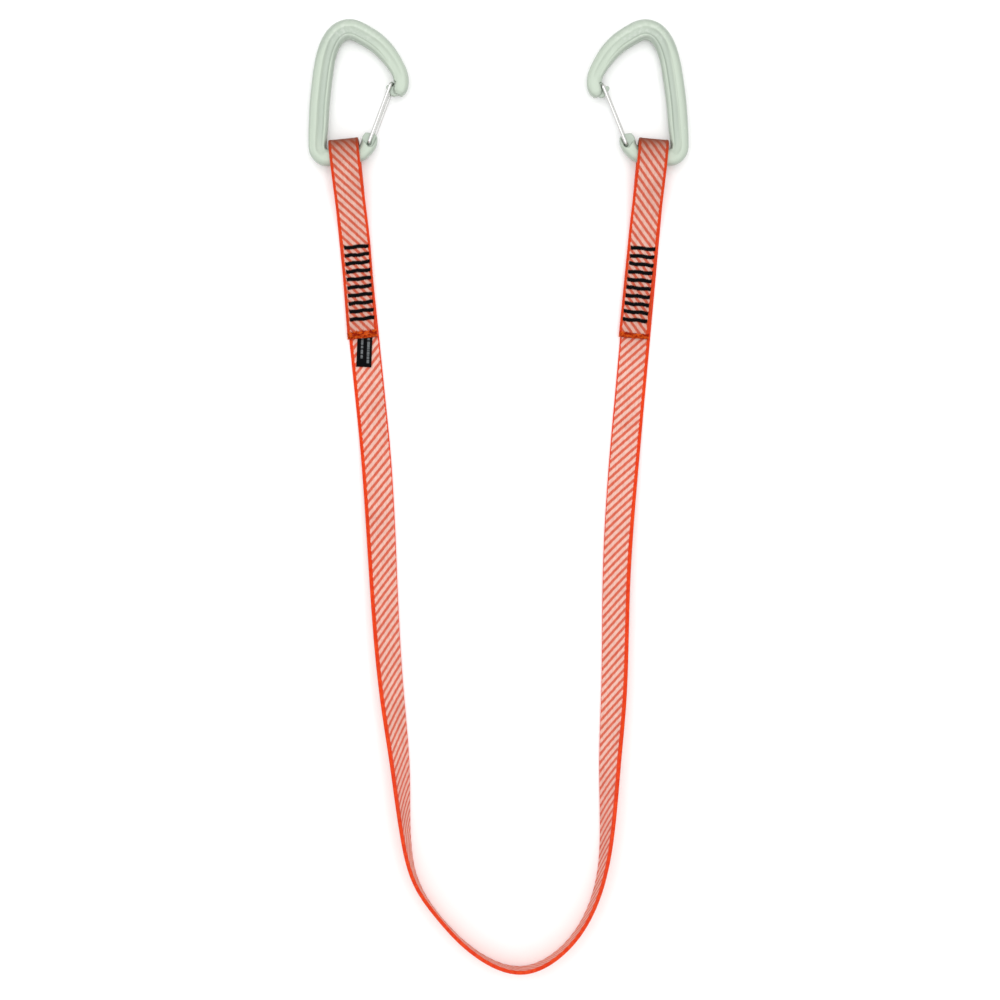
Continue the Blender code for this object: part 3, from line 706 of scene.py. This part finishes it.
def tubes(name, paths, radius, sides):
    """One mesh of round threads along several paths, with rounded ends."""
    points, faces = [], []
    turns = [2 * math.pi * i / sides for i in range(sides)]
    for path in paths:
        line = np.array(path, float)
        runs = np.gradient(line, axis=0)
        runs /= np.linalg.norm(runs, axis=1)[:, None]
        normal = np.cross(runs[0], (0.0, 0.0, 1.0))
        if np.linalg.norm(normal) < 0.1:  # the thread starts upright
            normal = np.cross(runs[0], (1.0, 0.0, 0.0))
        base = len(points)
        rings = [(line[0] - runs[0] * radius * TIP[0], runs[0], TIP[1])]
        rings += [(p, run, 1.0) for p, run in zip(line, runs)]
        rings.append((line[-1] + runs[-1] * radius * TIP[0], runs[-1], TIP[1]))
        for place, run, share in rings:
            normal = normal - run * (normal @ run)
            normal /= np.linalg.norm(normal)
            other = np.cross(run, normal)
            for a in turns:
                points.append(place + (normal * math.cos(a) + other * math.sin(a)) * radius * share)
        faces += swept_faces(sides, len(rings), base)
    return mesh_of(name, points, faces)


def piece(name, mesh, look, body, matrix=None, nodes=()):
    """A visible piece that rides on a body, if one is given, and stands for the CAD nodes it names."""
    mesh.materials.clear()
    mesh.materials.append(look)
    mesh.shade_smooth()
    made = bpy.data.objects.new(name, mesh)
    bpy.context.scene.collection.objects.link(made)
    made.matrix_world = matrix or Matrix()
    if body:
        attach(made, body)
    if nodes:
        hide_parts(*nodes)
    return made


def shift(x, y, z):
    return Matrix.Translation(Vector((x, y, z)) * MM)


# ---- webbing ----


def fold_top(side):
    return tuple(a - b for a, b in zip(FOLD_TOP[side], LAYOUT_MIDDLE))


def leg_ways(side):
    """Down the leg, and outwards across it, as unit vectors on the surface."""
    lean = math.radians(LEG_LEAN[side])
    sign = 1 if side == "left" else -1
    down = Vector((sign * math.sin(lean), -math.cos(lean), 0.0))
    outward = Vector((-sign * math.cos(lean), -math.sin(lean), 0.0))
    return down, outward


def leg_point(side, down_by, aside=0.0, height=0.0):
    down, outward = leg_ways(side)
    return Vector((*fold_top(side), height)) + down * down_by + outward * aside


def flap_height(share):
    crown = THICK + 2 * EYE_RADIUS + THICK / 2
    return crown - (crown - 1.5 * THICK) * share**2 * (3 - 2 * share)


def end_profile():
    """The middle of the tape's sewn end as (down the leg, height), from the flap's cut end round
    the fold to where the leg leaves its straight part."""
    centre = EYE_RADIUS + THICK
    radius = EYE_RADIUS + THICK / 2
    line = [(FLAP_END - t * (FLAP_END - EYE_JOIN), 1.5 * THICK) for t in np.linspace(0, 1, 40)[:-1]]
    line += [(centre + t * (EYE_JOIN - centre), flap_height(t)) for t in np.linspace(1, 0, 60)[:-1]]
    line += arc((centre, centre), radius, 90, 270, 3.0)
    line += [(s, THICK / 2) for s in np.linspace(centre, FLEX_AT + FLEX_GAP / 2, 60)[1:]]
    return np.array(line)


def aside_of(side, kind, down_by):
    """How far the flap, or its rows of thread, lie outwards of the tape below."""
    first, last = (FLAP_ASIDE if kind == "flap" else ROWS_ASIDE)[side]
    share = np.clip((down_by - TACK_FIRST) / (FLAP_END - TACK_FIRST), 0, 1)
    return (first + (last - first) * share) * smooth(down_by, EYE_RADIUS + THICK, TACK_FIRST)


def end_stations(side):
    """Middles, outward ways, face normals and places down the leg of the sewn end's sections."""
    line = end_profile()
    at = distances(line)
    where = np.linspace(0.0, at[-1], round(at[-1] / TAPE_STEP) + 1)
    downs = np.interp(where, at, line[:, 0])
    heights = np.interp(where, at, line[:, 1])
    slopes = np.stack([np.gradient(downs), np.gradient(heights)], axis=1)
    slopes /= np.linalg.norm(slopes, axis=1)[:, None]
    down, outward = leg_ways(side)
    on_flap = heights > EYE_RADIUS + THICK
    on_flap |= where < FLAP_END - EYE_JOIN + FLAP_SURE
    found = []
    for s, z, (run, rise), flap in zip(downs, heights, slopes, on_flap):
        aside = aside_of(side, "flap", s) if flap else 0.0
        middle = leg_point(side, s, aside, z)
        normal = Vector((0, 0, run)) - down * rise
        found.append((middle, outward, normal, s, flap))
    return found


def bend_stations():
    """The same for the tape between the two sewn ends."""
    straight = (FLEX_AT + FLEX_GAP / 2, FLEX_AT + LEG_STRAIGHT)
    ends = {}
    for side in SIDES:
        places = [leg_point(side, s) for s in straight]
        ends[side] = [(p.x, p.y, twist) for p, twist in zip(places, (0.0, LEG_TWIST))]
    bend = np.array(BEND_ROUTE) - (*LAYOUT_MIDDLE, 0.0)
    route = np.vstack([ends["left"], bend, ends["right"][::-1]])
    at = distances(route[:, :2])
    where = np.linspace(0.0, at[-1], round(at[-1] / TAPE_STEP) + 1)
    middles = spline(at, route[:, :2], where)
    twists = np.radians(steady(at, route[:, 2], where))
    runs = np.gradient(middles, axis=0)
    found = []
    for (x, y), run, twist in zip(middles, runs, twists):
        run = run / np.linalg.norm(run)
        level = Vector((run[1], -run[0], 0))
        across = level * math.cos(twist) + Vector((0, 0, math.sin(twist)))
        normal = Vector((0, 0, math.cos(twist))) - level * math.sin(twist)
        height = WIDTH / 2 * math.sin(twist) + THICK / 2 * abs(math.cos(twist))
        found.append((Vector((x, y, height)), across, normal, None, False))
    return found


def tape_outline():
    """The tape's section as (across, up): flat faces and round selvedges."""
    half, up = WIDTH / 2, THICK / 2
    flats = [(half - TAPE_EDGE) * t for t in np.linspace(-1, 1, 25)]
    full = [up + SELVEDGE_FULL * float(smooth(abs(u), *SELVEDGE_FROM)) for u in flats]
    top = list(zip(flats, full))
    right = arc((half - TAPE_EDGE, 0.0), 1.0, 90, -90, 30)[1:-1]
    right = [(half - TAPE_EDGE + (x - half + TAPE_EDGE) * TAPE_EDGE, z * full[-1]) for x, z in right]
    low = [(u, -z) for u, z in reversed(top)]
    left = [(-x, -z) for x, z in right]
    return top + right + low + left


def row_pinch(side, down_by, outwards):
    """How far a row of thread pulls the top of the flap down at this place."""
    deep = 0.0
    for row in range(TACK_COUNT):
        off = abs(down_by - ROWS_DOWN[side] - TACK_FIRST - row * TACK_PITCH)
        if off < TACK_PITCH:
            deep += math.exp(-((off / PINCH_REACH) ** 2))
    reach = abs(outwards - aside_of(side, "rows", down_by) + aside_of(side, "flap", down_by))
    inside = 1.0 - float(smooth(reach, *(TACK_LENGTH / 2 + off for off in PINCH_SIDE)))
    near = float(smooth(down_by, *(TACK_FIRST - off for off in PINCH_BEFORE)))
    near *= 1.0 - float(smooth(down_by, *(FLAP_END - off for off in PINCH_AFTER)))
    return (PINCH[0] * min(deep, 1.0) - PINCH[1] * near) * inside


def tape_mesh(side, stations, along):
    """One half of the tape, from its flap to the middle of the bend."""
    outline = tape_outline()
    points, marks = [], []
    for (middle, across, normal, down_by, flap), place in zip(stations, along):
        turned = 0.0
        if down_by is None:
            # Painted shade where the bend stands on edge, stored below 0.
            darkening = -BEND_SHADE * float(smooth(abs(normal.z), *BEND_UPRIGHT))
        else:
            turned = 1.0 if flap else 1.0 - float(smooth(down_by, *TURNED_UNTIL))
            # Painted shade at the fold's crown, and a darker tone down the flap.
            darkening = turned * float(np.interp(down_by, FOLD_DARKENING_AT, FOLD_DARKENING))
        for u, h in outline:
            lift = h
            if flap and down_by > TACK_FIRST - TACK_PITCH and h < 0:
                lift += row_pinch(side, down_by, u) * min(1.0, -h / (THICK / 2))
            points.append(middle + across * u + normal * lift)
            marks.append((u * (1 + TURNED_ACROSS * turned) - TURNED_OVER * turned, place, darkening))
    mesh = mesh_of(f"{side}_tape", points, swept_faces(len(outline), len(stations)))
    # Recalculating normals keeps the vertex order, so the marks still match.
    layer = mesh.attributes.new("tape", "FLOAT_VECTOR", "POINT")
    layer.data.foreach_set("vector", np.array(marks, np.float32).ravel())
    return mesh


def make_tape(look):
    left = end_stations("left")
    bend = bend_stations()
    right = list(reversed(end_stations("right")))
    whole = left + bend[1:-1] + right
    along = distances(np.array([station[0] for station in whole]))
    # The stripe's place along the tape is the real one, apart from the two flaps.
    marks = along.copy()
    tops = [station[3] for station in left + right]
    first = int(np.argmin(tops[: len(left)]))
    last = len(whole) - len(right) + int(np.argmin(tops[len(left) :]))
    marks[:first] = marks[first] + (marks[:first] - marks[first]) * TURNED_ALONG
    marks[last + 1 :] = marks[last] + (marks[last + 1 :] - marks[last]) * TURNED_ALONG
    half = len(left) + (len(bend) - 2) // 2
    spans = {"left": slice(0, half + 1), "right": slice(half, len(whole))}
    skins = {}
    for side in SIDES:
        span = spans[side]
        mesh = tape_mesh(side, whole[span], marks[span])
        nodes = [f"{side}_webbing_end", "webbing_bend"]
        skin = piece(f"{side}_tape", mesh, look, None, nodes=nodes)
        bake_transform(skin)
        length = float(along[span][-1] - along[span][0]) * MM
        skins[side] = (skin, length)
    return skins


# ---- stitching ----


def leg_matrix(side):
    """The leg's frame: +X outwards on the left and inwards on the right, +Y down the leg."""
    lean = LEG_LEAN[side] if side == "left" else -LEG_LEAN[side]
    place = Matrix.Translation(Vector((*fold_top(side), 0.0)) * MM)
    return place @ Matrix.Rotation(math.radians(180.0 + lean), 4, "Z")


def outward_sign(side):
    return 1 if side == "left" else -1


def row_mesh(draw):
    """A bar tack: close zigzag stitches over and under both layers, in its own frame."""
    paths = []
    tilt = draw.uniform(-ROW_TILT, ROW_TILT)
    phase = draw.uniform(0, 2 * math.pi)
    for top, swell in ((True, 1.0), (False, ROW_UNDER)):
        path = []
        for i in range(ROW_STITCHES + 1):
            share = i / ROW_STITCHES
            x = TACK_LENGTH * (share - 0.5)
            half = (ROW_HALF + draw.uniform(-ROW_UNEVEN, ROW_UNEVEN)) * swell
            wave = ROW_WAVE[1] * math.sin(2 * math.pi * share * ROW_WAVE[0] + phase)
            y = wave + tilt * x / TACK_LENGTH + (half if i % 2 else -half)
            path.append((x + draw.uniform(-ROW_STEP_UNEVEN, ROW_STEP_UNEVEN), y))
        line = []
        for (x0, y0), (x1, y1) in zip(path, path[1:]):
            for t in STITCH_AT:
                arch = math.sin(math.pi * t)
                if top:
                    z = 2 * THICK + ROW_ABOVE + STITCH_ARCH[0] * arch
                else:
                    z = ROW_BELOW - STITCH_ARCH[1] * arch
                line.append((x0 + (x1 - x0) * t, y0 + (y1 - y0) * t, z))
        line.append((*path[-1], line[0][2]))
        paths.append(line)
    return tubes("row", paths, ROW_THREAD, THREAD_SIDES)


def make_rows(look):
    draw = random.Random(7)
    for side in SIDES:
        for i in range(TACK_COUNT):
            down_by = TACK_FIRST + ROWS_DOWN[side] + i * TACK_PITCH
            aside = float(aside_of(side, "rows", down_by)) * outward_sign(side)
            matrix = leg_matrix(side) @ shift(aside, down_by, 0)
            nodes = [f"{side}_bar_tack_{i + 1:02}"]
            piece(f"{side}_row_{i + 1:02}", row_mesh(draw), look, f"{side}_leg", matrix, nodes)


def hem_mesh(side, draw):
    """Overlocking over the flap's cut end: slanting loops on top, crossed by looper threads."""
    top = 2 * THICK
    reach = HEM_REACH[side]
    paths = []
    half = WIDTH / 2 - HEM_INSET
    least, more, bow = HEM_RISE
    for i in range(HEM_LOOPS):
        x = -half + 2 * half * i / (HEM_LOOPS - 1)
        back = FLAP_END - reach + draw.uniform(*HEM_BACK_UNEVEN)
        lean = HEM_LEAN + draw.uniform(-HEM_LEAN_UNEVEN, HEM_LEAN_UNEVEN)
        x_back = min(max(x - lean, -half), half)
        lift = draw.uniform(0.0, more)
        path = [(x_back, back, top - HEM_SUNK)]
        for t in HEM_AT:
            rise = least + lift + bow * math.sin(math.pi * t)
            path.append((x_back + (x - x_back) * t, back + (FLAP_END - back) * t, top + rise))
        # It turns down over the cut end.
        path += [(x, FLAP_END + 0.32, top + 0.02), (x, FLAP_END + HEM_EDGE, top - 0.6)]
        path.append((x + 0.1, FLAP_END + 0.34, THICK + 0.55))
        paths.append(path)
    chains = [(reach * share, swing, lift) for share, swing, lift in HEM_CHAINS]
    steps = 4 * HEM_LOOPS
    wander, slow = HEM_WANDER
    for back, swing, lift in [*chains, HEM_EDGE_CHAIN]:
        line = []
        for k in range(steps + 1):
            x = -half + 2 * half * k / steps
            turn = 2 * math.pi * k / 4
            s = FLAP_END - back + swing * math.sin(turn) + wander * math.sin(k * slow)
            line.append((x, s, top + lift + HEM_WAVE * math.cos(turn)))
        paths.append(line)
    return tubes("hem", paths, HEM_THREAD, THREAD_SIDES)


def make_hems(look):
    draw = random.Random(19)
    for side in SIDES:
        aside = float(aside_of(side, "flap", FLAP_END)) * outward_sign(side)
        matrix = leg_matrix(side) @ shift(aside, 0, 0)
        mesh = hem_mesh(side, draw)
        nodes = [f"{side}_hem_stitch"]
        piece(f"{side}_overlock", mesh, look, f"{side}_leg", matrix, nodes)


def label_mesh():
    """The label in its own frame: its top edge at y = 0, with soft ripples and a slightly lifted lower end.
    """
    breadth, length = LABEL_SIZE
    columns, rows = LABEL_GRID
    ripple_height, ripple_along, ripple_across = LABEL_RIPPLE
    sections = []
    for j in range(rows + 1):
        y = length * j / rows
        ring = []
        for face in (1, -1):
            for i in range(columns + 1):
                u = -1 + 2 * i / columns
                x = u * breadth / 2 * face
                ripple = ripple_height * math.sin(y * ripple_along + x * ripple_across)
                ripple += LABEL_LIFT * (y / length) ** 4
                round_off = 1 - LABEL_ROUND * abs(u) ** 10
                z = LABEL_LOW + LABEL_THICK / 2 + ripple + face * LABEL_THICK / 2 * round_off
                ring.append((x, y, z))
        sections.append(ring)
    return swept(sections)


def make_label(look):
    matrix = leg_matrix("left") @ shift(LABEL_ASIDE, LABEL_FROM, 0)
    matrix = matrix @ Matrix.Rotation(math.radians(LABEL_TURN), 4, "Z")
    return piece("data_label", label_mesh(), look, "left_leg", matrix, ["woven_label"])


# ---- carabiner ----


def body_section(width, thick, groove):
    """A forged section: rounded flanges with a channel in each face, nearer the inner side."""
    half, up = width / 2, thick / 2
    power = 2 / SECTION_SQUARE
    ring = []
    for i in range(SECTION_POINTS):
        a = 2 * math.pi * i / SECTION_POINTS
        c, s = math.cos(a), math.sin(a)
        x = half * math.copysign(abs(c) ** power, c)
        z = up * math.copysign(abs(s) ** power, s)
        off = abs(x - GROOVE_ASIDE) / GROOVE_HALF
        cut = groove * (1 - float(smooth(off, GROOVE_FLOOR, 1.0)))
        if abs(s) > 0.2:
            z -= math.copysign(cut, s)
        ring.append((x, z))
    return ring


def body_sweep():
    route = np.array(BODY_ROUTE)
    at = distances(route[:, :2])
    where = np.linspace(0.0, at[-1], BODY_STEPS)
    middles = spline(at, route[:, :2], where)
    sizes = [steady(at, route[:, i], where) for i in (2, 3, 4)]
    runs = np.gradient(middles, axis=0)
    sections = []
    for (x, y), run, *size in zip(middles, runs, *sizes):
        run = run / np.linalg.norm(run)
        section = body_section(*size)
        sections.append([(x - run[1] * s, y + run[0] * s, z) for s, z in section])
    return swept(sections)


def gate_length():
    return (Vector(LATCH) - Vector(PIVOT)).length


def gate_frame(along, inward):
    run = (Vector(LATCH) - Vector(PIVOT)).normalized()
    return tuple(Vector(PIVOT) + run * along + Vector((-run.y, run.x)) * inward)


def hook_mesh():
    (x0, y0, r0), (x1, y1, r1) = HOOK_ROOT, HOOK_TIP
    heading = math.degrees(math.atan2(y1 - y0, x1 - x0))
    outline = arc((x1, y1), r1, heading - 90, heading + 90, 10)
    outline += arc((x0, y0), r0, heading + 90, heading + 270, 10)
    return prism(outline, -WEB_HALF, WEB_HALF)


def recess_outlines():
    swing = math.radians(GATE_OPEN)
    room = GATE_ROOM + LUG_CLEAR
    heel = (LUG_HEEL[0] - GATE_ROOM * math.sin(swing), LUG_HEEL[1] + GATE_ROOM)
    lug = arc((0, 0), room, 180, 270) + [(LUG_RECESS, -room), (LUG_RECESS, LUG_RECESS), heel]
    before, past, across = NOSE_RECESS
    start, end = gate_length() - before, gate_length() + past
    nose = [(start, -GATE_ROOM), (end, -GATE_ROOM), (end, across), (start, across)]
    return [[gate_frame(*place) for place in outline] for outline in (lug, nose)]


def carabiner_mesh():
    webs = []
    for outline in recess_outlines():
        webs += [prism(outline, WEB_HALF, CUTTER), prism(outline, -CUTTER, -WEB_HALF)]
    notch = arc(LATCH, LATCH_ROOM, 0, 350, 10)
    holes = []
    for up in (1, -1):
        offset = GATE_HALF * math.tan(math.radians(GATE_SKEW)) * up
        hole = arc(gate_frame(0, offset * PIVOT_ASIDE), PIVOT_HOLE, 0, 350, 10)
        holes.append(prism(hole, *sorted((PIVOT_WALL * up, CUTTER * up))))
    cuts = [joined(webs), prism(notch, -CUTTER, CUTTER), joined(holes)]
    steps = [("BOOLEAN", {"operation": "UNION", "solver": "EXACT", "object": hook_mesh()})]
    steps += [("BOOLEAN", {"operation": "DIFFERENCE", "solver": "EXACT", "object": cut}) for cut in cuts]
    steps.append(("REMESH", {"mode": "VOXEL", "voxel_size": BODY_VOXEL, "use_smooth_shade": True}))
    steps.append(("SMOOTH", {"factor": 0.5, "iterations": BODY_SMOOTH}))
    return modified(body_sweep(), steps)


def gate_mesh():
    far = gate_length()
    corner = LOOP_CORNER
    half = [(0.0, WIRE_END), (0.0, (GATE_HALF - corner + WIRE_END) / 2)]
    half += arc((corner, GATE_HALF - corner), corner, 180, 90, 10)
    half += [(y, GATE_HALF) for y in np.linspace(corner, far - corner, 40)[1:-1]]
    half += arc((far - corner, GATE_HALF - corner), corner, 90, 0, 10)
    half.append((far, 0.5))
    loop = half + [(y, -z) for y, z in reversed(half)]
    skew = math.tan(math.radians(GATE_SKEW))
    return tubes("wire", [[(-z * skew, y, z) for y, z in loop]], WIRE_RADIUS, WIRE_SIDES)


def carabiner_place(side):
    """The carabiner's frame in the leg's frame."""
    bar = EYE_RADIUS + THICK
    dip = math.asin((bar - BASKET_HALF) / BASKET_REACH)
    flip = 0.0 if side == "left" else math.pi
    lean = math.radians(180.0 + (LEG_LEAN[side] if side == "left" else -LEG_LEAN[side]))
    turn = math.radians(CARABINER_TURN[side]) - lean
    return (
        shift(CARABINER_ASIDE * outward_sign(side), bar + EYE_SLACK, bar)
        @ Matrix.Rotation(dip, 4, "X")
        @ Matrix.Rotation(turn, 4, "Z")
        @ Matrix.Rotation(flip, 4, "Y")
    )


def gate_place():
    run = Vector(LATCH) - Vector(PIVOT)
    return shift(*PIVOT, 0) @ Matrix.Rotation(math.atan2(-run.x, run.y), 4, "Z")


def make_carabiners(body_look, wire_look):
    body = carabiner_mesh()
    wire = gate_mesh()
    for side in SIDES:
        matrix = leg_matrix(side) @ carabiner_place(side)
        nodes = [f"{side}_carabiner_body"]
        piece(f"{side}_forged_body", body, body_look, f"{side}_carabiner", matrix, nodes)
        matrix = matrix @ gate_place()
        nodes = [f"{side}_wire_gate"]
        piece(f"{side}_gate_wire", wire, wire_look, f"{side}_gate", matrix, nodes)


# ---- floor ----


def make_floor():
    mesh = bpy.data.meshes.new("studio_floor")
    corners = [(x * FLOOR_REACH, y * FLOOR_REACH, 0) for x, y in ((-1, -1), (1, -1), (1, 1), (-1, 1))]
    mesh.from_pydata(corners, [], [(0, 1, 2, 3)])
    mesh.materials.append(floor_material())
    made = bpy.data.objects.new("studio_floor", mesh)
    made.location = (0, 0, -FLOOR_DROP)
    bpy.context.scene.collection.objects.link(made)


# ---- scene ----

make_camera()
make_studio()
make_floor()

skins = make_tape(tape_material())
make_rows(thread_material("bonded_thread", TACK_BLACK, 400.0, 0.01))
make_hems(thread_material("overlock_thread", SEAM_ORANGE, 420.0, 0.02))
label = make_label(label_material())
make_carabiners(body_material(), wire_material())

for side in SIDES:
    with_pieces = [f"{side}_row_{i + 1:02}" for i in range(TACK_COUNT)] + [f"{side}_overlock"]
    if side == "left":
        with_pieces.append(label)
